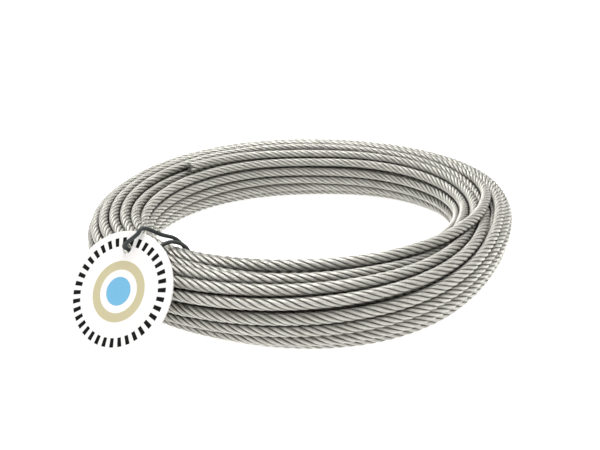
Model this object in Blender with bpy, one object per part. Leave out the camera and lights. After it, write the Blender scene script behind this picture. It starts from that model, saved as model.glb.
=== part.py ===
# Coil of stranded wire rope lying flat, with a round hang tag on an elastic cord.
# Metres, +Z up. The coil's axis is the Z axis and it rests on the plane z = 0.
import math

import bmesh
import bpy
import numpy as np
from mathutils import Matrix, Vector

# rope and coil
ROPE_D = 0.005              # rope diameter
EYE_R = 0.0705              # mean radius of the coil's eye
BUNDLE_W = 0.0326           # bundle, eye to outer side
BUNDLE_H = 0.0323           # bundle, floor to top
LOBES = ((2, 0.0063, 25.0), (3, 0.0029, 41.7), (4, 0.0012, 29.6))  # hand-coiled shape: order, swing, degrees
WIDER = ((1, 0.0004, 33.0), (2, 0.0004, 58.0), (3, 0.0013, 37.0))  # the same for half of the bundle's width
HIGHER = ((1, 0.0004, -27.0), (2, 0.0012, -70.0))                  # and of its height
BUNDLE_SQUARENESS = 2.5     # 2 is an ellipse, larger is squarer
TURN_ARC = math.radians(62)  # half of the arc that each outer turn shows
ARC_FACETS = 3              # odd, so that the lowest turn has a flat facet under it
RING_STEPS = 64

# hang tag
TAG_D = 0.050
TAG_T = 0.0010
TAG_HOLE_D = 0.0040
TAG_HOLE_R = 0.0174         # hole's centre from the tag's centre
TAG_LEAN = math.radians(37.6)  # back from upright, against the coil's side
TAG_FACES = math.radians(-118.7)  # azimuth that the printed face looks to
TAG_TURN = math.radians(10.5)  # the hole to the left of the tag's top
TAG_SIDE = 0.0271           # tag's centre to the left of the coil's centre, seen from the front of the tag
TAG_FLOOR = 0.0004          # lowest edge above the floor

# elastic cord of the tag
CORD_D = 0.0017
CORD_SIDE = 0.0013          # each of the two runs to the side of the loop's middle plane
CORD_ARCH = 0.0042          # how far the runs arch clear of the top turns
CORD_TURN = math.radians(1.0)  # where the cord crosses the coil, on from the hole's azimuth
RIM_TURN = math.radians(13)  # where the cord crosses the tag's rim, to the right of the hole
CHANNEL_CLEAR = 0.0005      # room round the cord where it passes between the turns
KNOT_D = 0.0034
TAG_REST = 0.0030           # off the nearest turn, as the tag rests on its cord and knot
GAP = 0.0003                # between neighbours that touch

# materials
STEEL = (0.48, 0.47, 0.44)
CARD = (0.86, 0.86, 0.85)
ELASTIC = (0.012, 0.022, 0.020)

for old in list(bpy.data.objects):
    bpy.data.objects.remove(old, do_unlink=True)


def material(name, colour, metallic, roughness):
    mat = bpy.data.materials.new(name)
    mat.use_nodes = True
    shader = mat.node_tree.nodes["Principled BSDF"]
    shader.inputs["Base Color"].default_value = (*colour, 1.0)
    shader.inputs["Metallic"].default_value = metallic
    shader.inputs["Roughness"].default_value = roughness
    mat.diffuse_color = (*colour, 1.0)
    return mat


def add_object(name, mesh, mat):
    obj = bpy.data.objects.new(name, mesh)
    bpy.context.scene.collection.objects.link(obj)
    if mat is not None:
        mesh.materials.append(mat)
    return obj


MEAN_R = EYE_R + BUNDLE_W / 2
HALF_W = BUNDLE_W / 2
HALF_H = BUNDLE_H / 2


def swings(terms, azimuth):
    return sum(swing * math.cos(order * (azimuth - math.radians(turn))) for order, swing, turn in terms)


def middle_r(azimuth):
    """Radius of the bundle's middle line, which swings a little round the coil."""
    return MEAN_R + swings(LOBES, azimuth)


def half_w(azimuth):
    return HALF_W + swings(WIDER, azimuth)


def half_h(azimuth):
    return HALF_H + swings(HIGHER, azimuth)


def outline_turns():
    """Centres (r, z) and outward directions of the turns that form the bundle's outside."""
    a = HALF_W - ROPE_D / 2
    b = HALF_H - ROPE_D / 2
    n = 2 / BUNDLE_SQUARENESS
    fine = []
    for i in range(4001):
        t = -math.pi / 2 + 2 * math.pi * i / 4000
        c, s = math.cos(t), math.sin(t)
        fine.append((math.copysign(abs(c) ** n, c) * a, math.copysign(abs(s) ** n, s) * b))
    fine = np.array(fine)
    along = np.concatenate([[0], np.cumsum(np.hypot(*np.diff(fine, axis=0).T))])
    count = int(along[-1] / ROPE_D)
    places = np.arange(count) * along[-1] / count
    x = np.interp(places, along, fine[:, 0])
    z = np.interp(places, along, fine[:, 1])
    step = along[-1] * 1e-3
    ahead = np.stack([np.interp((places + step) % along[-1], along, fine[:, k]) for k in (0, 1)])
    behind = np.stack([np.interp((places - step) % along[-1], along, fine[:, k]) for k in (0, 1)])
    tangent = ahead - behind
    normal = np.arctan2(-tangent[0], tangent[1])
    normal[0] = -math.pi / 2
    return list(zip(x, z, normal))


def bundle_profile():
    """Closed profile (x, z) of the bundle: an arc for each outer turn, valleys between them."""
    half_facet = TURN_ARC / ARC_FACETS
    lift = HALF_H - ROPE_D / 2 + ROPE_D / 2 * math.cos(half_facet)
    points = []
    for x, z, normal in outline_turns():
        for k in range(ARC_FACETS + 1):
            angle = normal - TURN_ARC + 2 * half_facet * k
            points.append((x + ROPE_D / 2 * math.cos(angle),
                           lift + z + ROPE_D / 2 * math.sin(angle)))
    return points


PROFILE = bundle_profile()
TOP_Z = max(z for x, z in PROFILE)


def ring_points(profile, steps):
    """One loop of points for each step round the coil's axis."""
    loops = []
    for i in range(steps):
        a = 2 * math.pi * i / steps
        r = middle_r(a)
        wide = half_w(a) / HALF_W
        high = half_h(a) / HALF_H
        loops.append([Vector(((r + x * wide) * math.cos(a), (r + x * wide) * math.sin(a), z * high))
                      for x, z in profile])
    return loops


RING = ring_points(PROFILE, RING_STEPS)


def turned_ring(name, loops, mat):
    bm = bmesh.new()
    rings = [[bm.verts.new(point) for point in loop] for loop in loops]
    steps = len(rings)
    count = len(rings[0])
    for i in range(steps):
        here, there = rings[i], rings[(i + 1) % steps]
        for k in range(count):
            k2 = (k + 1) % count
            bm.faces.new((here[k], there[k], there[k2], here[k2]))
    if bm.calc_volume(signed=True) < 0:
        bmesh.ops.reverse_faces(bm, faces=bm.faces)
    mesh = bpy.data.meshes.new(name)
    bm.to_mesh(mesh)
    bm.free()
    mesh.shade_smooth()
    mesh.set_sharp_from_angle(angle=math.radians(50))
    return add_object(name, mesh, mat)


coil = turned_ring("wire_rope_coil", RING, material("stainless rope", STEEL, 1.0, 0.38))

# The tag stands on its lower edge and leans on the coil: its back face clears the turns behind it by TAG_REST.
face = Vector((math.cos(TAG_FACES) * math.cos(TAG_LEAN),
               math.sin(TAG_FACES) * math.cos(TAG_LEAN), math.sin(TAG_LEAN)))
left_side = Vector((math.sin(TAG_FACES), -math.cos(TAG_FACES), 0.0))
up = left_side.cross(face)
if up.z < 0:
    up.negate()
level = Vector((math.cos(TAG_FACES), math.sin(TAG_FACES), 0.0))
tag_z = TAG_FLOOR + TAG_D / 2 * up.z + TAG_T / 2 * face.z


def tag_place(forward):
    return level * forward + left_side * TAG_SIDE + Vector((0.0, 0.0, tag_z))


forward = MEAN_R
fine_ring = [point for loop in ring_points(PROFILE, RING_STEPS * 8) for point in loop]
for attempt in range(8):
    middle = tag_place(forward)
    behind = [(point - middle) for point in fine_ring]
    inside = [q.dot(face) for q in behind
              if q.dot(left_side) ** 2 + q.dot(up) ** 2 < (TAG_D / 2) ** 2]
    if inside:
        forward += (max(inside) + TAG_REST + TAG_T / 2) / math.cos(TAG_LEAN)
tag_centre = tag_place(forward)
tag_left = left_side * math.cos(TAG_TURN) - up * math.sin(TAG_TURN)
tag_up = up * math.cos(TAG_TURN) + left_side * math.sin(TAG_TURN)
tag_frame = Matrix((tag_left, tag_up, tag_left.cross(tag_up))).transposed().to_4x4()
tag_frame.translation = tag_centre


def disc(name, diameter, thickness, sides, frame, mat):
    bm = bmesh.new()
    bmesh.ops.create_cone(bm, cap_ends=True, segments=sides, radius1=diameter / 2,
                          radius2=diameter / 2, depth=thickness)
    bm.transform(frame)
    if bm.calc_volume(signed=True) < 0:
        bmesh.ops.reverse_faces(bm, faces=bm.faces)
    mesh = bpy.data.meshes.new(name)
    bm.to_mesh(mesh)
    bm.free()
    return add_object(name, mesh, mat)


tag = disc("hang_tag", TAG_D, TAG_T, 96, tag_frame, material("card", CARD, 0.0, 0.45))
hole_frame = tag_frame @ Matrix.Translation((0.0, TAG_HOLE_R, 0.0))
punch = disc("punch", TAG_HOLE_D, TAG_T * 6, 24, hole_frame, None)
punch.hide_render = True
punch.display_type = "WIRE"
cut = tag.modifiers.new("punched hole", "BOOLEAN")
cut.operation = "DIFFERENCE"
cut.solver = "EXACT"
cut.object = punch

# The cord is worked out in the vertical plane through the hole and the coil's axis.
hole = tag_frame @ Vector((0.0, TAG_HOLE_R, 0.0))
cord_azimuth = math.atan2(hole.y, hole.x) + CORD_TURN
outward = Vector((math.cos(cord_azimuth), math.sin(cord_azimuth), 0.0))
sideways = Vector((-math.sin(cord_azimuth), math.cos(cord_azimuth), 0.0))
cord_half_w = half_w(cord_azimuth)
cord_half_h = half_h(cord_azimuth)
cord_top = TOP_Z * cord_half_h / HALF_H
channel_z = cord_top / 2


def place(r, side, z):
    return outward * r + sideways * side + Vector((0.0, 0.0, z))


cord_middle = middle_r(cord_azimuth)
eye_side = cord_middle - cord_half_w
outer_side = cord_middle + cord_half_w


def skin(direction, out):
    """A point (r, z) this far outside the bundle at the cord, seen from its middle in this direction."""
    c, s = math.cos(direction), math.sin(direction)
    p = BUNDLE_SQUARENESS
    size = (abs(c / cord_half_w) ** p + abs(s / cord_half_h) ** p) ** (-1 / p)
    return cord_middle + (size + out) * c, cord_top / 2 + (size + out) * s


off = CORD_D / 2 + GAP
hole_front = hole + face * (TAG_T / 2 + CORD_D * 1.2) + tag_up * 0.0006
hole_back = hole - face * (TAG_T / 2 + CORD_D * 1.1) - tag_up * 0.0006
to_rim = tag_up * math.cos(RIM_TURN) - tag_left * math.sin(RIM_TURN)
rim_front = tag_centre + to_rim * (TAG_D / 2 - CORD_D * 0.8) + face * (TAG_T / 2 + CORD_D * 1.25)
rim_over = tag_centre + to_rim * (TAG_D / 2 + CORD_D * 0.9) + face * (TAG_T * 1.2)
turn_in = eye_side - off - CORD_D * 0.5


def near_skin(degrees, side, out=0.0):
    r, z = skin(math.radians(degrees), off + out)
    return place(r, side, z)


def over_and_through(start, sides, arch):
    """Arches over the top turns from the outer shoulder, dips into the eye and goes out between the turns."""
    steps = ((98, 1.0), (116, 0.5), (134, 0.1), (155, 0.0))
    found = list(start)
    for k, (degrees, share) in enumerate(steps):
        t = k / (len(steps) - 1)
        found.append(near_skin(degrees, sides[0] + (sides[1] - sides[0]) * t, arch * share))
    found.append(place(turn_in, sides[1], channel_z + CORD_D * 1.6))
    found.append(place(turn_in + CORD_D * 0.9, sides[1], channel_z + CORD_D * 0.25))
    for k in range(1, 8):
        r = turn_in + CORD_D + (outer_side - turn_in - CORD_D) * k / 8
        found.append(place(r, sides[1], channel_z))
    return found


knot_side = -CORD_SIDE * 2
knot = place(outer_side + off + KNOT_D * 0.3, knot_side, channel_z - KNOT_D * 1.3)
free = KNOT_D / 2 + GAP
leave = Vector((0.0, 0.0, 1.0)) - sideways * 0.7
leave.normalize()
arrive = Vector((0.0, 0.0, 1.0)) + sideways * 0.7
arrive.normalize()

route = [knot + leave * free, knot + leave * (free + CORD_D * 1.5)]
route += [near_skin(14, -CORD_SIDE * 3.4, 0.0003), near_skin(30, -CORD_SIDE * 2.0, 0.0002)]
route += [hole_back, hole, hole_front]
route += over_and_through([rim_front, rim_over], (0.0, -CORD_SIDE), CORD_ARCH)
route += [place(outer_side + CORD_D, -CORD_SIDE, channel_z + CORD_D * 0.3)]
route += [near_skin(14, -CORD_SIDE * 0.5, CORD_D * 0.4)]
route += [near_skin(d, CORD_SIDE * s) for d, s in ((26, 0.5), (38, 1.4), (50, 2.1), (66, 2.3))]
route += over_and_through([], (CORD_SIDE * 2.4, CORD_SIDE), CORD_ARCH * 0.45)
route += [place(outer_side + CORD_D * 0.9, CORD_SIDE, channel_z - CORD_D * 0.4),
          knot + arrive * (free + CORD_D), knot + arrive * free]


def smooth_route(points, spacing):
    """Catmull-Rom through the route's points, then points at even spacing along it."""
    pts = [np.array(p) for p in points]
    pts = [2 * pts[0] - pts[1]] + pts + [2 * pts[-1] - pts[-2]]
    fine = []
    for p0, p1, p2, p3 in zip(pts, pts[1:], pts[2:], pts[3:]):
        t0, t1 = 0.0, np.linalg.norm(p1 - p0) ** 0.5
        t2 = t1 + np.linalg.norm(p2 - p1) ** 0.5
        t3 = t2 + np.linalg.norm(p3 - p2) ** 0.5
        for t in np.linspace(t1, t2, 24, endpoint=False):
            a1 = (t1 - t) / (t1 - t0) * p0 + (t - t0) / (t1 - t0) * p1
            a2 = (t2 - t) / (t2 - t1) * p1 + (t - t1) / (t2 - t1) * p2
            a3 = (t3 - t) / (t3 - t2) * p2 + (t - t2) / (t3 - t2) * p3
            b1 = (t2 - t) / (t2 - t0) * a1 + (t - t0) / (t2 - t0) * a2
            b2 = (t3 - t) / (t3 - t1) * a2 + (t - t1) / (t3 - t1) * a3
            fine.append((t2 - t) / (t2 - t1) * b1 + (t - t1) / (t2 - t1) * b2)
    fine.append(pts[-2])
    fine = np.array(fine)
    along = np.concatenate([[0], np.cumsum(np.linalg.norm(np.diff(fine, axis=0), axis=1))])
    count = max(4, round(along[-1] / spacing) + 1)
    places = np.linspace(0, along[-1], count)
    return np.stack([np.interp(places, along, fine[:, k]) for k in range(3)], axis=1), along[-1]


cord_points, cord_length = smooth_route(route, CORD_D * 1.7)
print("cord", round(cord_length * 1000, 1), "mm,", len(cord_points), "points")
curve = bpy.data.curves.new("tag_cord", "CURVE")
curve.dimensions = "3D"
curve.bevel_depth = CORD_D / 2
curve.bevel_resolution = 2
curve.use_fill_caps = True
spline = curve.splines.new("POLY")
spline.points.add(len(cord_points) - 1)
for point, co in zip(spline.points, cord_points):
    point.co = (*co, 1.0)
add_object("tag_cord", curve, material("elastic", ELASTIC, 0.0, 0.7))


def ball(name, diameter, centre, mat):
    bm = bmesh.new()
    bmesh.ops.create_icosphere(bm, subdivisions=2, radius=diameter / 2)
    bm.transform(Matrix.Translation(centre))
    mesh = bpy.data.meshes.new(name)
    bm.to_mesh(mesh)
    bm.free()
    mesh.shade_smooth()
    return add_object(name, mesh, mat)


ball("cord_knot", KNOT_D, knot, material("elastic knot", ELASTIC, 0.0, 0.7))

# The cord's two runs pass between the turns, so the ring has one flat slot through it there.
slot_w = CORD_SIDE * 2 + CORD_D + CHANNEL_CLEAR * 2
slot_h = CORD_D + CHANNEL_CLEAR * 2
slot_length = BUNDLE_W * 1.4
bm = bmesh.new()
bmesh.ops.create_cube(bm, size=1.0)
bm.transform(Matrix.Diagonal((slot_length, slot_w, slot_h, 1.0)))
slot_frame = Matrix((outward, sideways, Vector((0, 0, 1)))).transposed().to_4x4()
slot_frame.translation = place(cord_middle, 0.0, channel_z)
bm.transform(slot_frame)
if bm.calc_volume(signed=True) < 0:
    bmesh.ops.reverse_faces(bm, faces=bm.faces)
slot_mesh = bpy.data.meshes.new("slot")
bm.to_mesh(slot_mesh)
bm.free()
slot = add_object("slot", slot_mesh, None)
slot.hide_render = True
slot.display_type = "WIRE"
cut = coil.modifiers.new("way for the cord", "BOOLEAN")
cut.operation = "DIFFERENCE"
cut.solver = "EXACT"
cut.object = slot

# Everything moves together, so that the whole part's outline box is centred on the origin.
corners = [point for loop in RING for point in loop]
corners += [tag_centre + (left_side * math.cos(t) + up * math.sin(t)) * TAG_D / 2 + face * (TAG_T / 2 * side)
            for t in np.linspace(0, 2 * math.pi, 97) for side in (-1, 1)]
shift = Vector((-(min(c.x for c in corners) + max(c.x for c in corners)) / 2,
                -(min(c.y for c in corners) + max(c.y for c in corners)) / 2, 0.0))
for obj in bpy.context.scene.collection.objects:
    obj.location += shift
print("shift", [round(v * 1000, 2) for v in shift])
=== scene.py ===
import math
import bpy
import numpy as np
from mathutils import Matrix, Vector


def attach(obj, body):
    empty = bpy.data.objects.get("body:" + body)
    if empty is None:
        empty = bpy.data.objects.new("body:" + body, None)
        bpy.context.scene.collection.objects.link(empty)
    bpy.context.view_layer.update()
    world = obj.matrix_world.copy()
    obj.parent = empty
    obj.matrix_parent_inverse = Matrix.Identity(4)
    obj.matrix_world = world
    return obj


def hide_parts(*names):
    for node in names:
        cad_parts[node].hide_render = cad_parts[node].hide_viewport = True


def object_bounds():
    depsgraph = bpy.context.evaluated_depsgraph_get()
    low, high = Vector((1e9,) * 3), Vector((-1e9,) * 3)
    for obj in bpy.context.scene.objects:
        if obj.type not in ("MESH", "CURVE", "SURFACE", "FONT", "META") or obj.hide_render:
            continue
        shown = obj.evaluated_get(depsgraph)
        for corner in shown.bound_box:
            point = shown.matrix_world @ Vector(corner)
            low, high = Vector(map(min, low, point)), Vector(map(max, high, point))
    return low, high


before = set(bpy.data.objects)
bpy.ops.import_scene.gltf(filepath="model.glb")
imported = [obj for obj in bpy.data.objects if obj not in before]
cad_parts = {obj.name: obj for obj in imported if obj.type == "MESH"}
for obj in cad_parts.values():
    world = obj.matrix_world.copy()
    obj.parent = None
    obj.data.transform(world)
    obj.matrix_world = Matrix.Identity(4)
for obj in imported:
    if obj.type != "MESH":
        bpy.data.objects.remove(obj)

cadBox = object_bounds()
scene = bpy.context.scene
mm = 0.001
shift = np.array((0.357, 2.535, 0.0)) * mm        # the part's own move to the middle of its box


def linear(hexColour):
    channels = [int(hexColour[i:i + 2], 16) / 255 for i in (1, 3, 5)]
    return tuple(c / 12.92 if c <= 0.04045 else ((c + 0.055) / 1.055) ** 2.4 for c in channels) + (1.0,)


# camera
cameraSpec = {"at": (-3.639, -316.040, 156.081), "down": 24.15, "roll": 0.405, "lens": 40.88}
cameraData = bpy.data.cameras.new("camera")
cameraData.lens = cameraSpec["lens"]
cameraData.sensor_width = 36.0
cameraData.clip_start = 0.01
camera = bpy.data.objects.new("camera", cameraData)
scene.collection.objects.link(camera)
camera.matrix_world = (Matrix.Translation([v * mm for v in cameraSpec["at"]])
                       @ Matrix.Rotation(math.radians(90 - cameraSpec["down"]), 4, "X")
                       @ Matrix.Rotation(math.radians(cameraSpec["roll"]), 4, "Z"))
scene.camera = camera

# The coil of rope is wound by hand, so its ring and its section swing a little round the eye. In the rows of
# middleR, halfW and halfH a size in mm comes first, and then its swings: how many in a round, size and azimuth
coil = {
    "ropeD": 5.0 * mm, "turns": 30, "outlineTurns": 17, "secondTurns": 9, "stepsPerTurn": 180,
    "middleR": (86.8, ((2, 6.3, 25.0), (3, 2.9, 41.7), (4, 1.2, 29.6))),
    "halfW": (16.3, ((1, 0.4, 33.0), (2, 0.4, 58.0), (3, 1.3, 37.0))),
    "halfH": (16.15, ((1, 0.4, -27.0), (2, 1.2, -70.0))),
    "squareness": 2.5,                          # of the bundle's section: 2 is an ellipse
    "seed": 11, "rounds": 420,
    "calmFrom": 0.8,                            # share of the rounds after which pull and stiffness ease off
    "hold": 0.055,                              # share of the way to its place that a turn goes each round
    "room": 1.006,                              # rope diameters between the middles of turns that touch
    "stray": 0.16, "sway": 0.35,                # how far turns stray along the skin, in turns, and in, in mm
    "fullness": 0.5,                            # mm that the turns press against the skin
    "secondLayer": (118, 0.93),                 # where it starts, and how many diameters inside the skin
    "thirdLayer": (100, 1.9), "thirdTurns": 4.0,
    "tuck": 30,                                 # steps over which a layer's last turn goes under the next
    "farEnd": 0.6,                              # share of the last turn where the hidden end is
    "cutAzimuth": 148.5,                        # where the cut end shows
    "endUp": 1.9, "endUpOver": 45,              # mm that the cut end springs up, and degrees that this takes
    "endSinks": (4, 60),                        # degrees past the cut end, and over which, its turn settles
    "backInStep": (-120, 90),                   # where that turn is in step again, and over how many degrees
    "asideOver": (-45, 85),                     # minus azimuths between which the other turns make way for it
    # the turn that lies across the others: mm that it stands out and that they go in, and how many turns away
    # this reaches, outward and to the eye
    "proud": 1.6, "under": 3.2, "underOut": 0.55, "underIn": 1.0,
    "rides": (34, -130), "ridesOver": 44,       # where it climbs and comes down, and degrees that each takes
    "leaves": (45, -105), "leavesOver": 60,     # where it leaves its place in the layer and joins it again
    "crossPlace": 15, "crossHold": (0.03, 0.2),
    # the place that a turn takes in the next round, for those that the crossing turn passes
    "moved": {15: 2, 16: 15, 0: 16, 1: 0, 2: 1},
    # azimuth and direction in the section (0 outward, 90 up, 180 to the eye) of the turn with the cut end
    "cutTurn": ((148.5, 122), (135, 127), (120, 129), (105, 130), (90, 134), (75, 134), (60, 132), (45, 134),
                (30, 138), (15, 137), (0, 123), (-15, 102), (-30, 84), (-45, 66), (-60, 57), (-75, 53),
                (-90, 49), (-105, 46), (-120, 44), (-150, 42), (-180, 41), (-211.5, 40)),
    # and of the turn that lies across the others on the top
    "crossTurn": ((60, 110), (45, 110), (30, 108), (15, 99), (0, 91), (-15, 86), (-30, 89), (-45, 95),
                  (-60, 97), (-75, 95), (-90, 92), (-110, 89)),
    # the tag's cord passes between the turns here, with this much round it in mm, over so many degrees
    "cordAzimuth": -134.9, "cordZ": 15.1, "cordRoom": 0.95, "cordOver": 9.0,
    "insideBox": 0.2,                           # mm that the rope keeps from the sides of the part's box
}


def swings(terms, azimuth):
    base, waves = terms
    return base + sum(size * np.cos(order * (azimuth - np.radians(turn))) for order, size, turn in waves)


def onSkin(direction, a, b):
    n = coil["squareness"]
    c, s = np.cos(direction), np.sin(direction)
    reach = (np.abs(c / a) ** n + np.abs(s / b) ** n) ** (-1 / n)
    return reach * c, reach * s


def ease(t):
    return t * t * (3 - 2 * t)


def windCoil():
    # Gives the rope's centre line. Every value is in mm here: x is out from the bundle's middle line, z is up
    # from the floor, and each turn is a row of places in the section, one for each step round the eye
    d = coil["ropeD"] / mm
    turns, steps = coil["turns"], coil["stepsPerTurn"]
    outline, second = coil["outlineTurns"], coil["secondTurns"]
    random = np.random.default_rng(coil["seed"])
    roundShare = np.arange(steps) / steps
    degrees = coil["cutAzimuth"] - 360 * np.arange(steps) / steps
    azimuth = np.radians(degrees)
    a = swings(coil["halfW"], azimuth) - d / 2
    b = swings(coil["halfH"], azimuth) - d / 2
    ringR = swings(coil["middleR"], azimuth)
    # way round the skin as a share of its whole length, for a direction in the section
    fineDirections = np.linspace(-2 * np.pi, 4 * np.pi, 6001)
    fx, fz = onSkin(fineDirections, a.mean(), b.mean())
    fineWay = np.concatenate([[0], np.cumsum(np.hypot(np.diff(fx), np.diff(fz)))])
    fineWay = fineWay / (fineWay[-1] / 3) - 1

    def way(direction):
        return np.interp(np.radians(direction), fineDirections, fineWay)

    def direction(share):
        return np.interp(share, fineWay, fineDirections)

    def wayOf(rows):
        return np.interp(-degrees, [-row[0] for row in rows], [way(row[1]) for row in rows])

    def inSection(share, width, height):
        x, z = onSkin(direction(share), width, height)
        return np.stack([x, z + b + d / 2], axis=1)

    def waves(size, count, low, high):
        # slow irregular swings along the whole rope, the same on each run
        alongTurns = np.arange(turns * steps) / steps
        total = np.zeros(turns * steps)
        for _ in range(count):
            total += random.normal() * np.cos(2 * np.pi * random.uniform(low, high) * alongTurns
                                              + random.uniform(0, 7))
        return (size * total / math.sqrt(count)).reshape(turns, steps)

    # the outer turns lie beside each other along the skin, in step with the turn that has the cut end
    cutWay = wayOf(coil["cutTurn"])
    aside = ease(np.interp(-degrees, coil["asideOver"], (0, 1)))
    layerWay = cutWay + aside / outline
    drift = round((layerWay[-1] - layerWay[0]) * outline)
    lastWay = cutWay[0] + (drift - 1) / outline
    stepAt, stepOver = coil["backInStep"]
    cutWay += (lastWay - cutWay[-1]) * np.clip((stepAt - degrees) / stepOver, 0, 1)
    layerWay = cutWay + aside / outline
    # the crossing turn leaves its place, rides over the others and joins them again further on
    leaveAt, joinAt = coil["leaves"]
    early = np.clip((degrees - leaveAt) / coil["leavesOver"], 0, 1)
    late = np.clip((joinAt - degrees) / coil["leavesOver"], 0, 1)
    crossWay = wayOf(coil["crossTurn"])
    crossWay = crossWay * (1 - early) + (layerWay - 2 / outline) * early
    crossWay = crossWay * (1 - late) + (layerWay + 2 / outline) * late
    climbAt, downAt = coil["rides"]
    riding = ease(np.clip((climbAt - degrees) / coil["ridesOver"], 0, 1)
                  * np.clip((degrees - downAt) / coil["ridesOver"], 0, 1))

    # which place each turn takes at the start of its round
    places = [0]
    while len(places) < outline:
        here = places[-1]
        places.append((coil["moved"].get(here, here) + drift) % outline)
    print("coil: drift", drift, "places", sorted(places) == list(range(outline)))

    strayed = waves(coil["stray"] / outline, 60, 0.5, 3.2)
    sink = np.abs(waves(coil["sway"], 60, 0.5, 3.0)) - coil["fullness"]
    target = np.zeros((turns, steps, 2))
    hold = np.full((turns, steps), coil["hold"])
    cross = places.index(coil["crossPlace"])
    stand = np.zeros((turns, steps))                # how far a turn stands out of the skin
    stand[cross] = coil["proud"] * riding
    stand[0] = coil["endUp"] * np.clip(1 - (coil["cutAzimuth"] - degrees) / coil["endUpOver"], 0, 1)
    for i in range(outline):
        place = places[i]
        if i == cross:
            share = crossWay
        elif place in (16, 0, 1, 2):                # the cut end's turn and those beside it don't step aside
            share = cutWay + (place if place < 16 else -1) / outline
        else:
            share = layerWay + place / outline
        depth = sink[i].copy()
        if i == cross:
            depth = depth * (1 - riding) - stand[i]
            hold[i] = coil["crossHold"][0] + coil["crossHold"][1] * riding
        else:
            share = share + strayed[i]
            gap = (share - crossWay + 0.5) % 1 - 0.5
            reach = np.where(gap < 0, coil["underOut"], coil["underIn"])
            depth += coil["under"] * riding * np.exp(-(gap * outline / reach) ** 2)
        if i == 0:
            settleAt, settleOver = coil["endSinks"]
            depth = depth * np.clip((coil["cutAzimuth"] - degrees - settleAt) / settleOver, 0, 1) - stand[i]
        target[i] = inSection(share, a - depth, b - depth)
    for i in range(outline, turns):
        k = i - outline
        if k < second:
            startAt, inside = coil["secondLayer"]
            share = way(startAt) - (2 * (k + roundShare)) / second + 2 * strayed[i]
        else:
            startAt, inside = coil["thirdLayer"]
            share = way(startAt) - (k - second + roundShare) / coil["thirdTurns"]
        target[i] = inSection(share % 1, np.maximum(a - d * inside, 2.0), np.maximum(b - d * inside, 2.0))
    # the last outline turn goes under and becomes the first inner one, and so on inward
    for i in (outline - 1, outline + second - 1):
        tucked = ease(np.clip((np.arange(steps) - (steps - coil["tuck"])) / coil["tuck"], 0, 1))[:, None]
        target[i] = target[i] * (1 - tucked) + target[i + 1][0] * tucked

    # the rope settles: drawn to its place, straightened by its stiffness, and pushed off its neighbours
    spots = target.copy()
    ropeLine = spots.reshape(-1, 2)                 # the same numbers as one line from end to end
    endStep = int(steps * coil["farEnd"])
    live = np.ones((turns, steps), bool)
    live[-1, endStep:] = False
    first, other = np.triu_indices(turns, 1)
    both = live[first] & live[other]
    channel = np.exp(-((degrees - coil["cordAzimuth"]) / coil["cordOver"]) ** 2)
    boxLow = np.array(cadBox[0])[:2] / mm + d / 2 + coil["insideBox"]
    boxHigh = np.array(cadBox[1])[:2] / mm - d / 2 - coil["insideBox"]
    for step in range(coil["rounds"]):
        calm = step > coil["rounds"] * coil["calmFrom"]
        spots += (target - spots) * (hold * (0.2 if calm else 1))[:, :, None]
        # stiff rope: each point moves towards the middle of its neighbours, in a section of even size
        spots[..., 0] /= a
        spots[..., 1] = (spots[..., 1] - b - d / 2) / b
        smooth = ropeLine.copy()
        smooth[1:-1] = (ropeLine[:-2] + ropeLine[2:]) / 2
        smooth[2:-2] = smooth[2:-2] * 0.5 + (ropeLine[:-4] + ropeLine[4:]) / 4
        smooth[4:-4] = smooth[4:-4] * 0.5 + (ropeLine[:-8] + ropeLine[8:]) / 4
        ropeLine += (smooth - ropeLine) * (0.5 if calm else 0.7)
        spots[..., 0] *= a
        spots[..., 1] = spots[..., 1] * b + b + d / 2
        # no two turns share room
        room = d * coil["room"]
        for _ in range(2):
            away = spots[first] - spots[other]
            apart = np.hypot(away[..., 0], away[..., 1]) + 1e-6
            push = np.where(both & (apart < room), (room - apart) / apart * 0.5, 0)[..., None] * away
            np.add.at(spots, first, push * 0.8)
            np.add.at(spots, other, -push * 0.8)
        # inside the skin and above the floor
        x, z = spots[..., 0], spots[..., 1] - (b + d / 2)
        n = coil["squareness"]
        over = (np.abs(x / a) ** n + np.abs(z / b) ** n) ** (1 / n)
        over -= stand / b
        scaleBack = np.where(over > 1, 1 / np.maximum(over, 1e-6), 1)
        spots[..., 0] = x * scaleBack
        spots[..., 1] = np.maximum(z * scaleBack + b + d / 2, d / 2)
        # clear of the tag's cord, whole turns above it or below it
        need = (d / 2 + coil["cordRoom"]) * channel
        lift = spots[..., 1] - coil["cordZ"]
        above = (lift * channel).sum(1) > 0
        lift = np.where(above[:, None], lift, -lift)
        upOrDown = np.where(above[:, None], 1, -1)
        spots[..., 1] += upOrDown * np.maximum(need - lift, 0) * (channel > 0.05) * 0.5
        # and inside the part's box
        worldX = (ringR + spots[..., 0]) * np.cos(azimuth) + shift[0] / mm
        worldY = (ringR + spots[..., 0]) * np.sin(azimuth) + shift[1] / mm
        outX = worldX - np.clip(worldX, boxLow[0], boxHigh[0])
        outY = worldY - np.clip(worldY, boxLow[1], boxHigh[1])
        spots[..., 0] -= np.hypot(outX, outY)
    away = spots[first] - spots[other]
    apart = np.hypot(away[..., 0], away[..., 1])[both]
    print("coil: nearest turns", round(float(apart.min()), 2), "mm, 1 in 1000 under",
          round(float(np.quantile(apart, 0.001)), 2))
    r = ringR + spots[..., 0]
    points = np.stack([r * np.cos(azimuth), r * np.sin(azimuth), spots[..., 1]], axis=-1).reshape(-1, 3)
    return points[:turns * steps - (steps - endStep)] * mm + shift


centreLine = windCoil()


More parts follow.
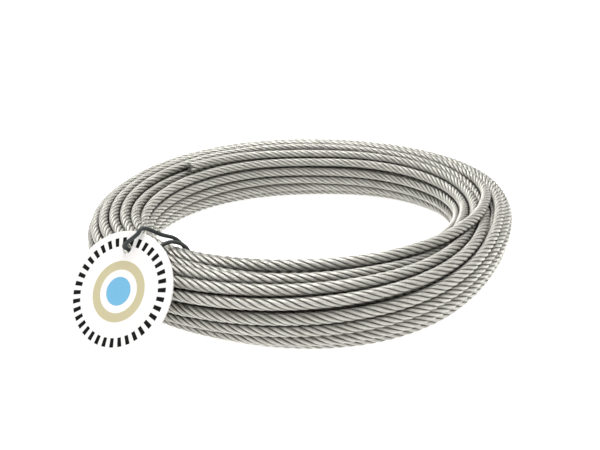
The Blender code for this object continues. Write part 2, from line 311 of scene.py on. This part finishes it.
def lineAt(points, along, wanted):
    # smooth cubic through evenly counted points, at the wanted ways along
    tangents = np.gradient(points, along, axis=0)
    k = np.clip(np.searchsorted(along, wanted, side="right") - 1, 0, len(along) - 2)
    h = (along[k + 1] - along[k])[:, None]
    t = ((wanted - along[k]) / h[:, 0])[:, None]
    p0, p1, m0, m1 = points[k], points[k + 1], tangents[k] * h, tangents[k + 1] * h
    return ((2 * t ** 3 - 3 * t ** 2 + 1) * p0 + (t ** 3 - 2 * t ** 2 + t) * m0
            + (3 * t ** 2 - 2 * t ** 3) * p1 + (t ** 3 - t ** 2) * m1)


along = np.concatenate([[0], np.cumsum(np.linalg.norm(np.diff(centreLine, axis=0), axis=1))])
ropeLength = float(along[-1])
print("coil: rope", round(ropeLength, 2), "m")


def tubeMesh(name, centres, normals, sides, radius, sectionAngles, alongWay, mat):
    # a swept tube: a ring of points at each centre, with a UV of metres along and turns round
    rings, count = len(centres), len(sectionAngles)
    co = np.zeros((rings, count, 3))
    for c, angle in enumerate(sectionAngles):
        co[:, c] = centres + radius * (math.cos(angle) * normals + math.sin(angle) * sides)
    idx = np.arange(rings * count).reshape(rings, count)
    nxt = np.roll(idx, -1, axis=1)
    quads = np.stack([idx[:-1], nxt[:-1], nxt[1:], idx[1:]], axis=-1).reshape(-1, 4)
    mesh = bpy.data.meshes.new(name)
    mesh.vertices.add(rings * count)
    mesh.vertices.foreach_set("co", co.reshape(-1))
    mesh.loops.add(len(quads) * 4 + 2 * count)
    loops = np.concatenate([quads.reshape(-1), idx[0][::-1], idx[-1]])
    mesh.loops.foreach_set("vertex_index", loops.astype(np.int32))
    starts = np.concatenate([np.arange(len(quads)) * 4, [len(quads) * 4, len(quads) * 4 + count]])
    mesh.polygons.add(len(starts))
    mesh.polygons.foreach_set("loop_start", starts.astype(np.int32))
    mesh.update(calc_edges=True)
    layer = mesh.uv_layers.new(name="UVMap")
    turn = np.array(sectionAngles) / (2 * math.pi)
    turnNext = np.append(turn[1:], turn[0] + 1)
    uv = np.zeros((rings - 1, count, 4, 2))
    uv[:, :, 0, 0] = uv[:, :, 1, 0] = alongWay[:-1, None]
    uv[:, :, 2, 0] = uv[:, :, 3, 0] = alongWay[1:, None]
    uv[:, :, 0, 1] = uv[:, :, 3, 1] = turn
    uv[:, :, 1, 1] = uv[:, :, 2, 1] = turnNext
    caps = np.full((2 * count, 2), -1.0)
    layer.data.foreach_set("uv", np.concatenate([uv.reshape(-1), caps.reshape(-1)]))
    mesh.polygons.foreach_set("use_smooth", np.append(np.ones(len(quads), bool), (False, False)))
    mesh.materials.append(mat)
    mesh.validate()
    obj = bpy.data.objects.new(name, mesh)
    scene.collection.objects.link(obj)
    return obj


def newMaterial(name):
    mat = bpy.data.materials.new(name)
    mat.use_nodes = True
    shader = mat.node_tree.nodes["Principled BSDF"]
    return mat, shader


def addNode(mat, kind, settings=(), inputs=(), links=()):
    # one node with its settings, its unlinked inputs and its links from other nodes' outputs
    node = mat.node_tree.nodes.new(kind)
    for key, value in dict(settings).items():
        setattr(node, key, value)
    for key, value in dict(inputs).items():
        node.inputs[key].default_value = value
    for key, socket in dict(links).items():
        mat.node_tree.links.new(socket, node.inputs[key])
    return node


def rampStops(node, stops):
    elements = node.color_ramp.elements
    while len(elements) > 1:
        elements.remove(elements[-1])
    elements[0].position = stops[0][0]
    elements[0].color = stops[0][1]
    for place, colour in stops[1:]:
        elements.new(place).color = colour


# Drawn stainless wire, bright from the die and dulled by handling. The closing die and hands polish each
# strand's crown, so it is less rough, and a painted highlight makes it a narrow bright line; its flanks stay a
# duller warm grey with a fine slanting grain of wires and painted shade between the wires, and the grooves get
# painted shade. Painted shade also makes dark lines between turns that touch
drawnStainless, shader = newMaterial("drawnStainlessStrand")
steel = {
    "wires": 12, "wirePitch": 13.0 * mm,        # outer wires of a strand of 19, and a wire's way once round
    "wireDepth": 0.14 * mm,                     # the groove between 0.33 mm wires
    # colours: the crown's painted highlight, the flank's own tones, the groove's painted shade and the painted
    # shade between turns
    "crown": "#DFDDD6", "flank": ("#C0BEB5", "#DAD9D2"), "groove": "#8F9087", "contactShade": "#1E221E",
    "mottle": 180.0,                            # handling marks of about 5 mm
    # shares of a turn round the strand from its outward side, where the painted highlight, then the groove's
    # painted shade, begins and is full
    "crownEdge": (0.10, 0.02), "grooveEdge": (0.13, 0.23),
    "highlightShare": 0.9,                         # how much of the painted highlight's tone shows on the crown
    "rough": (0.50, 0.38),                      # roughness of the flank and of the crown
    "betweenWires": 0.34,                       # painted shade between the wires: brightness there, against the wires' tops
    "contactShadeReach": 0.95 * mm,                   # painted shade between turns: its reach off the next turn's skin
    "contactShadeMost": 0.85, "cutShadeFade": 12.0 * mm,  # how dark the painted shade gets, and the stretch at the cut end over which it fades in
}
coords = addNode(drawnStainless, "ShaderNodeTexCoord")
parts = addNode(drawnStainless, "ShaderNodeSeparateXYZ", links={0: coords.outputs["UV"]})
# the strand's outer wires, as waves round it that run back against the strand's own turn
lay = addNode(drawnStainless, "ShaderNodeMath", {"operation": "MULTIPLY"},
              {1: -steel["wires"] / steel["wirePitch"]}, {0: parts.outputs["X"]})
wire = addNode(drawnStainless, "ShaderNodeMath", {"operation": "MULTIPLY_ADD"}, {1: float(steel["wires"])},
               {0: parts.outputs["Y"], 2: lay.outputs[0]})
saw = addNode(drawnStainless, "ShaderNodeMath", {"operation": "PINGPONG"}, {1: 0.5}, {0: wire.outputs[0]})
wireTop = addNode(drawnStainless, "ShaderNodeMapRange", {"interpolation_type": "SMOOTHSTEP"},
                  {"From Min": 0.0, "From Max": 0.5, "To Min": 0.0, "To Max": 1.0}, {"Value": saw.outputs[0]})
bump = addNode(drawnStainless, "ShaderNodeBump", inputs={"Strength": 1.0, "Distance": steel["wireDepth"]},
               links={"Height": wireTop.outputs[0]})
tone = addNode(drawnStainless, "ShaderNodeTexNoise",
               inputs={"Scale": steel["mottle"], "Detail": 4.0, "Roughness": 0.65},
               links={"Vector": coords.outputs["Object"]})
flank = addNode(drawnStainless, "ShaderNodeValToRGB", links={"Fac": tone.outputs["Fac"]})
rampStops(flank, ((0.35, linear(steel["flank"][0])), (0.65, linear(steel["flank"][1]))))
# how far round from the strand's outward side: 0 is outward and 0.5 inward
aroundStrand = addNode(drawnStainless, "ShaderNodeMath", {"operation": "PINGPONG"}, {1: 0.5},
                       {0: parts.outputs["Y"]})
# painted highlight on the strand's outward side, which also lowers the roughness there
crownHighlightAndGloss = addNode(drawnStainless, "ShaderNodeMapRange", {"interpolation_type": "SMOOTHSTEP"},
                 {"From Min": steel["crownEdge"][0], "From Max": steel["crownEdge"][1], "To Min": 0.0,
                  "To Max": steel["highlightShare"]}, {"Value": aroundStrand.outputs[0]})
highlighted = addNode(drawnStainless, "ShaderNodeMix", {"data_type": "RGBA"}, {"B": linear(steel["crown"])},
                   {"Factor": crownHighlightAndGloss.outputs[0], "A": flank.outputs["Color"]})
# painted shade in the grooves between strands, in the groove colour
inner = addNode(drawnStainless, "ShaderNodeMapRange", {"interpolation_type": "SMOOTHSTEP"},
                {"From Min": steel["grooveEdge"][0], "From Max": steel["grooveEdge"][1], "To Min": 0.0,
                 "To Max": 1.0}, {"Value": aroundStrand.outputs[0]})
grooveShaded = addNode(drawnStainless, "ShaderNodeMix", {"data_type": "RGBA"}, {"B": linear(steel["groove"])},
                  {"Factor": inner.outputs[0], "A": highlighted.outputs["Result"]})
# painted shade between the wires, multiplied into the colour
between = addNode(drawnStainless, "ShaderNodeMapRange",
                  inputs={"From Min": 0.0, "From Max": 0.30, "To Min": steel["betweenWires"], "To Max": 1.0},
                  links={"Value": wireTop.outputs[0]})
shade = addNode(drawnStainless, "ShaderNodeMix", {"data_type": "RGBA", "blend_type": "MULTIPLY"},
                {"Factor": 0.9}, {"A": grooveShaded.outputs["Result"], "B": between.outputs[0]})
rough = addNode(drawnStainless, "ShaderNodeMapRange",
                inputs={"From Min": 0.0, "From Max": steel["highlightShare"], "To Min": steel["rough"][0],
                        "To Max": steel["rough"][1]}, links={"Value": crownHighlightAndGloss.outputs[0]})
# painted shade where two turns lie against each other
touch = addNode(drawnStainless, "ShaderNodeAttribute", {"attribute_name": "touch"})
contactShadeAmount = addNode(drawnStainless, "ShaderNodeMapRange", {"interpolation_type": "SMOOTHSTEP"},
               {"From Min": 0.0, "From Max": 0.9, "To Min": 0.0, "To Max": steel["contactShadeMost"]},
               {"Value": touch.outputs["Fac"]})
contactShaded = addNode(drawnStainless, "ShaderNodeMix", {"data_type": "RGBA"}, {"B": linear(steel["contactShade"])},
                {"Factor": contactShadeAmount.outputs[0], "A": shade.outputs["Result"]})
links = drawnStainless.node_tree.links
links.new(contactShaded.outputs["Result"], shader.inputs["Base Color"])
links.new(rough.outputs[0], shader.inputs["Roughness"])
links.new(bump.outputs["Normal"], shader.inputs["Normal"])
shader.inputs["Metallic"].default_value = 1.0
print("steel: made")

# Six strands round a core, right-hand ordinary lay. The hidden inner turns have longer steps. At the cut end
# the strands open a little and aren't of one length
rope = {"strands": 6, "layLength": 25.0 * mm, "strandAt": 1.66 * mm, "strandR": 0.83 * mm,
        "strandAngles": (-180, -112, -56, 0, 56, 112), "coreR": 0.85 * mm, "coreSides": 5, "coreStep": 5 * mm,
        "fineStep": 1.2 * mm, "hiddenStep": 2.6 * mm,
        "splay": 0.24, "splayOver": 3.0 * mm, "cutUneven": 0.6 * mm}
fineEnd = along[coil["outlineTurns"] * coil["stepsPerTurn"]]
ropeWay = np.concatenate([np.arange(0, fineEnd, rope["fineStep"]),
                          np.arange(fineEnd, ropeLength, rope["hiddenStep"])])


def unitRows(rows):
    return rows / np.linalg.norm(rows, axis=1)[:, None]


def outFrom(line, tangent):
    # the direction away from the eye, square to the line
    radial = line * (1, 1, 0)
    return unitRows(radial - (radial * tangent).sum(1)[:, None] * tangent)


line = lineAt(centreLine, along, ropeWay)
tangent = unitRows(lineAt(centreLine, along, np.minimum(ropeWay + 0.5 * mm, ropeLength))
                   - lineAt(centreLine, along, np.maximum(ropeWay - 0.5 * mm, 0)))
radial = outFrom(line, tangent)
across = np.cross(tangent, radial)

# where the rope's middle line is in the bundle's section at each step: out from the eye's middle, and up.
# What is past the rope's far end lies far off
steps = coil["stepsPerTurn"]
sections = np.full((coil["turns"] * steps, 2), 1e3)
sections[:len(centreLine), 0] = np.hypot(*(centreLine - shift)[:, :2].T)
sections[:len(centreLine), 1] = centreLine[:, 2]
sections = sections.reshape(coil["turns"], steps, 2)


def markTouch(strand, ringCount):
    # kept on the points for the painted shade between turns: 1 where the next turn touches, down to 0 at the
    # shade's reach from it
    index = np.clip(np.searchsorted(along, ropeWay), 0, len(along) - 1)
    co = np.zeros(len(strand.data.vertices) * 3)
    strand.data.vertices.foreach_get("co", co)
    co = co.reshape(len(ropeWay), ringCount, 3)
    flat = np.stack([np.hypot(co[..., 0] - shift[0], co[..., 1] - shift[1]), co[..., 2]], axis=-1)
    nearest = np.full(flat.shape[:2], 1.0)
    for other in range(coil["turns"]):
        away = np.linalg.norm(flat - sections[other, index % steps][:, None], axis=-1)
        away[index // steps == other] = 1.0
        nearest = np.minimum(nearest, away)
    touch = np.clip(1 - (nearest - coil["ropeD"] / 2) / steel["contactShadeReach"], 0, 1)
    touch *= np.clip(ropeWay / steel["cutShadeFade"], 0, 1)[:, None]
    strand.data.attributes.new("touch", "FLOAT", "POINT").data.foreach_set("value", touch.reshape(-1))


strandAngles = [math.radians(v) for v in rope["strandAngles"]]
for k in range(rope["strands"]):
    turn = 2 * math.pi * (ropeWay / rope["layLength"] + k / rope["strands"])[:, None]
    outward = np.cos(turn) * radial + np.sin(turn) * across
    sideways = -np.sin(turn) * radial + np.cos(turn) * across
    splay = 1 + rope["splay"] * np.exp(-ropeWay / rope["splayOver"])[:, None]
    centres = line + outward * rope["strandAt"] * splay
    centres[0] += tangent[0] * rope["cutUneven"] * (k * 2 % 3 - 1)
    forward = unitRows(tangent + sideways * (2 * math.pi * rope["strandAt"] / rope["layLength"]))
    strand = tubeMesh(f"ropeStrand{k + 1}", centres, outward, np.cross(forward, outward), rope["strandR"],
                      strandAngles, ropeWay, drawnStainless)
    markTouch(strand, len(strandAngles))
    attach(strand, "root")
    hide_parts("wire_rope_coil")
coreWay = np.arange(0, ropeLength, rope["coreStep"])
core = lineAt(centreLine, along, coreWay)
coreTangent = unitRows(np.gradient(core, axis=0))
coreRadial = outFrom(core, coreTangent)
coreAngles = [math.radians(360 * k / rope["coreSides"]) for k in range(rope["coreSides"])]
coreStrand = tubeMesh("ropeCore", core, coreRadial, np.cross(coreTangent, coreRadial), rope["coreR"],
                      coreAngles, coreWay, drawnStainless)
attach(coreStrand, "root")

# the hang tag, at its place in the part: the middle of the card in mm, and the card's own two directions
tagSpec = {
    "diameter": 50.0 * mm, "thickness": 1.0 * mm, "edge": 0.18 * mm, "hole": 4.0 * mm, "holeR": 17.4 * mm,
    "leftSide": (-0.915854394, 0.374652147, -0.144383311), "up": (0.128252417, 0.613738537, 0.779022634),
    "at": (-75.4828, -79.5572, 20.5123), "steps": 160,
}
leftSide, up = Vector(tagSpec["leftSide"]), Vector(tagSpec["up"])
tagFrame = Matrix((leftSide, up, leftSide.cross(up))).transposed().to_4x4()
tagFrame.translation = [v * mm for v in tagSpec["at"]]
print("tag: printed face looks to", [round(v, 2) for v in leftSide.cross(up)])

# the tag's cord: from the knot up through the hole, twice over the top turns and out between them, in mm
cordSpec = {"diameter": 1.7 * mm, "spacing": 0.45 * mm, "sides": 14}
cordRoute = (
    (-77.48, -70.35, 12.32), (-78.52, -69.32, 14.41), (-77.29, -69.21, 19.17), (-75.06, -69.55, 23.75),
    (-72.43, -67.60, 32.15), (-73.25, -68.88, 34.07), (-74.14, -70.28, 36.08), (-68.66, -69.24, 40.83),
    (-67.16, -66.76, 42.24), (-60.62, -58.72, 35.61), (-57.02, -54.50, 32.35), (-54.53, -51.38, 27.93),
    (-52.75, -48.98, 22.25), (-51.52, -47.74, 17.82), (-52.60, -48.82, 15.52), (-55.41, -51.64, 15.10),
    (-58.09, -54.34, 15.10), (-60.78, -57.04, 15.10), (-63.47, -59.74, 15.10), (-66.15, -62.44, 15.10),
    (-68.84, -65.14, 15.10), (-71.53, -67.84, 15.10), (-75.41, -71.75, 15.61), (-74.88, -72.13, 19.26),
    (-72.94, -72.03, 22.53), (-70.99, -71.73, 25.76), (-68.61, -70.62, 28.43), (-65.42, -67.78, 30.65),
    (-58.63, -61.15, 33.32), (-55.29, -56.94, 31.31), (-52.67, -53.45, 27.76), (-50.91, -50.81, 22.25),
    (-49.68, -49.57, 17.82), (-50.76, -50.66, 15.52), (-53.56, -53.48, 15.10), (-56.25, -56.18, 15.10),
    (-58.94, -58.88, 15.10), (-61.62, -61.58, 15.10), (-64.31, -64.28, 15.10), (-67.00, -66.98, 15.10),
    (-69.69, -69.68, 15.10), (-73.45, -73.46, 14.42), (-75.16, -72.66, 13.71), (-75.85, -71.97, 12.32))


def smoothRoute(points, spacing):
    # centripetal Catmull-Rom through the points, then points at even spacing
    pts = [np.array(p) * mm for p in points]
    pts = [2 * pts[0] - pts[1]] + pts + [2 * pts[-1] - pts[-2]]
    fine = []
    for p0, p1, p2, p3 in zip(pts, pts[1:], pts[2:], pts[3:]):
        t0, t1 = 0.0, np.linalg.norm(p1 - p0) ** 0.5
        t2 = t1 + np.linalg.norm(p2 - p1) ** 0.5
        t3 = t2 + np.linalg.norm(p3 - p2) ** 0.5
        for t in np.linspace(t1, t2, 24, endpoint=False):
            a1 = (t1 - t) / (t1 - t0) * p0 + (t - t0) / (t1 - t0) * p1
            a2 = (t2 - t) / (t2 - t1) * p1 + (t - t1) / (t2 - t1) * p2
            a3 = (t3 - t) / (t3 - t2) * p2 + (t - t2) / (t3 - t2) * p3
            b1 = (t2 - t) / (t2 - t0) * a1 + (t - t0) / (t2 - t0) * a2
            b2 = (t3 - t) / (t3 - t1) * a2 + (t - t1) / (t3 - t1) * a3
            fine.append((t2 - t) / (t2 - t1) * b1 + (t - t1) / (t2 - t1) * b2)
    fine.append(pts[-2])
    fine = np.array(fine)
    way = np.concatenate([[0], np.cumsum(np.linalg.norm(np.diff(fine, axis=0), axis=1))])
    places = np.linspace(0, way[-1], max(4, round(way[-1] / spacing) + 1))
    return np.stack([np.interp(places, way, fine[:, k]) for k in range(3)], axis=1), places


def carriedNormals(points):
    # directions to the side that turn no more than the line does
    forward = unitRows(np.gradient(points, axis=0))
    normal = np.cross(forward[0], (0.3, 0.2, 0.9))
    normals = []
    for f in forward:
        normal = normal - normal.dot(f) * f
        normal = normal / np.linalg.norm(normal)
        normals.append(normal)
    normals = np.array(normals)
    return normals, np.cross(forward, normals)


# Braided elastic: a black-green textile cover over rubber, which gives a soft dull thread with a fine twill.
# The cover has 8 threads of about 0.6 mm each way, somewhat coarser than the real one, so that they show
braidedElastic, shader = newMaterial("braidedElasticCover")
coords = addNode(braidedElastic, "ShaderNodeTexCoord")
parts = addNode(braidedElastic, "ShaderNodeSeparateXYZ", links={0: coords.outputs["UV"]})
cover = {"threads": 8.0, "threadLay": 2.4 * mm, "depth": 0.12 * mm, "low": "#0B100F", "high": "#232C29"}
slants = []
for lean in (1.0, -1.0):
    run = addNode(braidedElastic, "ShaderNodeMath", {"operation": "MULTIPLY"},
                  {1: lean * cover["threads"] / cover["threadLay"] * 0.5}, {0: parts.outputs["X"]})
    thread = addNode(braidedElastic, "ShaderNodeMath", {"operation": "MULTIPLY_ADD"}, {1: cover["threads"]},
                     {0: parts.outputs["Y"], 2: run.outputs[0]})
    slants.append(addNode(braidedElastic, "ShaderNodeMath", {"operation": "PINGPONG"}, {1: 0.5},
                          {0: thread.outputs[0]}))
weave = addNode(braidedElastic, "ShaderNodeMath", {"operation": "MAXIMUM"},
                links={0: slants[0].outputs[0], 1: slants[1].outputs[0]})
weaveBump = addNode(braidedElastic, "ShaderNodeBump", inputs={"Strength": 0.7, "Distance": cover["depth"]},
                    links={"Height": weave.outputs[0]})
# painted shade between the cover's threads: the low colour where the weave is low, the high one on the
# threads' tops
weaveShadeRamp = addNode(braidedElastic, "ShaderNodeValToRGB", links={"Fac": weave.outputs[0]})
rampStops(weaveShadeRamp, ((0.10, linear(cover["low"])), (0.50, linear(cover["high"]))))
links = braidedElastic.node_tree.links
links.new(weaveShadeRamp.outputs["Color"], shader.inputs["Base Color"])
links.new(weaveBump.outputs["Normal"], shader.inputs["Normal"])
shader.inputs["Roughness"].default_value = 0.62
shader.inputs["Sheen Weight"].default_value = 0.1

cordLine, cordWay = smoothRoute(cordRoute, cordSpec["spacing"])
cordNormals, cordSides = carriedNormals(cordLine)
cordAngles = [2 * math.pi * k / cordSpec["sides"] for k in range(cordSpec["sides"])]
tagCord = tubeMesh("tagElastic", cordLine, cordNormals, cordSides, cordSpec["diameter"] / 2, cordAngles,
                   cordWay, braidedElastic)
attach(tagCord, "root")
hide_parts("tag_cord")

# the knot: the same elastic pulled tight, once over and through itself
knotSpec = {"at": (-76.668, -71.162, 10.678), "reach": 1.15 * mm, "radius": 0.50 * mm, "height": 0.75,
            "points": 121, "sides": 10, "length": 12 * mm}
t = np.linspace(0, 2 * math.pi, knotSpec["points"])
knotLine = np.stack([(np.sin(t) + 2 * np.sin(2 * t)) / 3, (np.cos(t) - 2 * np.cos(2 * t)) / 3,
                     -np.sin(3 * t) * knotSpec["height"]], axis=1) * knotSpec["reach"]
knotLine += np.array(knotSpec["at"]) * mm
knotNormals, knotSides = carriedNormals(knotLine)
knotAngles = [2 * math.pi * k / knotSpec["sides"] for k in range(knotSpec["sides"])]
knotWay = np.linspace(0, knotSpec["length"], knotSpec["points"])
knot = tubeMesh("elasticKnot", knotLine, knotNormals, knotSides, knotSpec["radius"], knotAngles, knotWay,
                braidedElastic)
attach(knot, "root")
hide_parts("cord_knot")
print("cord:", round(float(cordWay[-1]) / mm, 1), "mm")


def tagMesh(name, spec, mat):
    # rings of points from the hole's edge to the rim, on both faces, each edge eased; the UV is metres across
    # the printed face, and the back and the edge lie 1 m to the side of it
    outerR, holeR, half, edge = spec["diameter"] / 2, spec["hole"] / 2, spec["thickness"] / 2, spec["edge"]
    centre = np.array((0.0, spec["holeR"]))
    steps = spec["steps"]
    angle = 2 * math.pi * np.arange(steps) / steps
    circle = np.stack([np.cos(angle), np.sin(angle)], axis=1)
    holeEdge = centre + circle * (holeR + edge)
    rim = circle * (outerR - edge)
    quarter = [k * math.pi / 6 for k in range(4)]
    loops = []
    for v in quarter:
        loops.append((centre + circle * (holeR + edge * (1 - math.cos(v))), edge * (1 - math.sin(v)) - half))
    for share in (0.05, 0.2, 0.5, 0.8, 0.95):
        loops.append((holeEdge * (1 - share) + rim * share, -half))
    for v in reversed(quarter):
        loops.append((circle * (outerR - edge * (1 - math.cos(v))), edge * (1 - math.sin(v)) - half))
    firstFace, lastFace = len(quarter) - 1, len(loops) - len(quarter) - 1
    loops += [(flatPoint, -z) for flatPoint, z in reversed(loops)]
    count = len(loops)
    flat = np.concatenate([np.column_stack([p, np.full(steps, z)]) for p, z in loops])
    faces, uvs = [], []
    for i in range(count):
        aside = 0.0 if firstFace <= i <= lastFace else 1.0
        for j in range(steps):
            corners = (i * steps + j, i * steps + (j + 1) % steps,
                       (i + 1) % count * steps + (j + 1) % steps, (i + 1) % count * steps + j)
            faces.append(corners)
            uvs += [(flat[c][0] + aside, flat[c][1]) for c in corners]
    mesh = bpy.data.meshes.new(name)
    mesh.from_pydata([tuple(tagFrame @ Vector(v)) for v in flat], [], faces)
    mesh.uv_layers.new(name="UVMap").data.foreach_set("uv", np.array(uvs).reshape(-1))
    mesh.update()
    mesh.shade_smooth()
    mesh.set_sharp_from_angle(angle=math.radians(40))
    mesh.materials.append(mat)
    obj = bpy.data.objects.new(name, mesh)
    scene.collection.objects.link(obj)
    return obj


# Coated white card, offset printed: a smooth bright face with a faint fibre grain, and matt flat inks. The
# print is plain: a ring of ticks, a tan ring and a blue disc, on the face only
printedCard, shader = newMaterial("offsetPrintedCard")
prints = {
    "tickR": 20.4 * mm, "tickHigh": 3.6 * mm, "ticks": 36, "tickEdge": (0.24, 0.27), "black": "#0E0F10",
    "ringR": 10.6 * mm, "ringWide": 3.6 * mm, "tan": "#B9B18F",
    "discR": 5.8 * mm, "blue": "#6DA8C9",
    "softEdge": 0.05 * mm, "paper": ("#DEDBD9", "#E4E2E0"), "grainDepth": 0.02 * mm,
}
coords = addNode(printedCard, "ShaderNodeTexCoord")
place = addNode(printedCard, "ShaderNodeSeparateXYZ", links={0: coords.outputs["UV"]})
flatPlace = addNode(printedCard, "ShaderNodeCombineXYZ", links={0: place.outputs["X"], 1: place.outputs["Y"]})
radius = addNode(printedCard, "ShaderNodeVectorMath", {"operation": "LENGTH"},
                 links={0: flatPlace.outputs[0]})
bearing = addNode(printedCard, "ShaderNodeMath", {"operation": "ARCTAN2"},
                  links={0: place.outputs["Y"], 1: place.outputs["X"]})


def band(middle, wide):
    # 1 within half of wide of the radius middle, with a soft edge
    off = addNode(printedCard, "ShaderNodeMath", {"operation": "SUBTRACT"}, {1: middle},
                  {0: radius.outputs["Value"]})
    size = addNode(printedCard, "ShaderNodeMath", {"operation": "ABSOLUTE"}, links={0: off.outputs[0]})
    return addNode(printedCard, "ShaderNodeMapRange",
                   inputs={"From Min": wide / 2 + prints["softEdge"], "From Max": wide / 2, "To Min": 0.0,
                           "To Max": 1.0}, links={"Value": size.outputs[0]})


tickBand = band(prints["tickR"], prints["tickHigh"])
tickCount = addNode(printedCard, "ShaderNodeMath", {"operation": "MULTIPLY"},
                    {1: prints["ticks"] / (2 * math.pi)}, {0: bearing.outputs[0]})
tickPhase = addNode(printedCard, "ShaderNodeMath", {"operation": "PINGPONG"}, {1: 0.5},
                    {0: tickCount.outputs[0]})
tickWide = addNode(printedCard, "ShaderNodeMapRange",
                   inputs={"From Min": prints["tickEdge"][0], "From Max": prints["tickEdge"][1],
                           "To Min": 0.0, "To Max": 1.0}, links={"Value": tickPhase.outputs[0]})
tick = addNode(printedCard, "ShaderNodeMath", {"operation": "MULTIPLY"},
               links={0: tickBand.outputs[0], 1: tickWide.outputs[0]})
tanRing = band(prints["ringR"], prints["ringWide"])
blueDisc = band(0.0, prints["discR"] * 2)
onFace = addNode(printedCard, "ShaderNodeMath", {"operation": "LESS_THAN"}, {1: 0.5}, {0: place.outputs["X"]})
# fibre flocks of about 1 mm, because single fibres are too fine to show
grain = addNode(printedCard, "ShaderNodeTexNoise", inputs={"Scale": 900.0, "Detail": 4.0},
                links={"Vector": coords.outputs["Object"]})
paper = addNode(printedCard, "ShaderNodeValToRGB", links={"Fac": grain.outputs["Fac"]})
rampStops(paper, ((0.3, linear(prints["paper"][0])), (0.7, linear(prints["paper"][1]))))
cardColour = paper.outputs["Color"]
for mask, ink in ((tanRing, prints["tan"]), (blueDisc, prints["blue"]), (tick, prints["black"])):
    printed = addNode(printedCard, "ShaderNodeMath", {"operation": "MULTIPLY"},
                      links={0: mask.outputs[0], 1: onFace.outputs[0]})
    inked = addNode(printedCard, "ShaderNodeMix", {"data_type": "RGBA"}, {"B": linear(ink)},
                    {"Factor": printed.outputs[0], "A": cardColour})
    cardColour = inked.outputs["Result"]
cardBump = addNode(printedCard, "ShaderNodeBump", inputs={"Strength": 0.25, "Distance": prints["grainDepth"]},
                   links={"Height": grain.outputs["Fac"]})
links = printedCard.node_tree.links
links.new(cardColour, shader.inputs["Base Color"])
links.new(cardBump.outputs["Normal"], shader.inputs["Normal"])
shader.inputs["Roughness"].default_value = 0.5
shader.inputs["Specular IOR Level"].default_value = 0.06

tag = tagMesh("hangTag", tagSpec, printedCard)
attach(tag, "root")
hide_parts("hang_tag")
print("tag: made")

# studio: a white table and large soft lights
far = 6.0                                            # metres that the table goes each way
floorMesh = bpy.data.meshes.new("floor")
floorMesh.from_pydata([(-far, -far, 0), (far, -far, 0), (far, far, 0), (-far, far, 0)], [], [(0, 1, 2, 3)])
floor = bpy.data.objects.new("floor", floorMesh)
scene.collection.objects.link(floor)
paleFloor, shader = newMaterial("litWhiteTable")     # white table lit from below, so hardly any shadow shows
shader.inputs["Base Color"].default_value = linear("#F7F7F7")
shader.inputs["Roughness"].default_value = 0.9
shader.inputs["Specular IOR Level"].default_value = 0.1
shader.inputs["Emission Color"].default_value = linear("#FFFFFF")
shader.inputs["Emission Strength"].default_value = 0.75
floorMesh.materials.append(paleFloor)

world = bpy.data.worlds.new("studio")
scene.world = world
world.use_nodes = True
background = world.node_tree.nodes["Background"]
worldCoords = world.node_tree.nodes.new("ShaderNodeTexCoord")
worldParts = world.node_tree.nodes.new("ShaderNodeSeparateXYZ")
worldRamp = world.node_tree.nodes.new("ShaderNodeValToRGB")
world.node_tree.links.new(worldCoords.outputs["Generated"], worldParts.inputs[0])
world.node_tree.links.new(worldParts.outputs["Z"], worldRamp.inputs["Fac"])
world.node_tree.links.new(worldRamp.outputs["Color"], background.inputs["Color"])
rampStops(worldRamp, ((0.0, (0.55, 0.55, 0.55, 1)), (0.35, (0.6, 0.6, 0.6, 1)), (1.0, (1, 1, 1, 1))))
background.inputs["Strength"].default_value = 0.85


def softLight(name, at, size, power):
    # looks at the middle of the coil
    data = bpy.data.lights.new(name, "AREA")
    data.shape = "RECTANGLE"
    data.size, data.size_y = size
    data.energy = power
    obj = bpy.data.objects.new(name, data)
    scene.collection.objects.link(obj)
    obj.location = at
    obj.rotation_euler = (Vector((0, 0, 0.02)) - Vector(at)).to_track_quat("-Z", "Y").to_euler()


softLight("topSoftbox", (0.1, 0.30, 0.9), (0.7, 0.5), 10.0)
softLight("leftSoftbox", (-0.8, -0.4, 0.7), (0.35, 0.5), 2.6)
softLight("frontFill", (0.5, -1.0, 0.5), (0.5, 0.3), 1.6)
scene.view_settings.view_transform = "Standard"
scene.view_settings.look = "None"

print("scene: done")
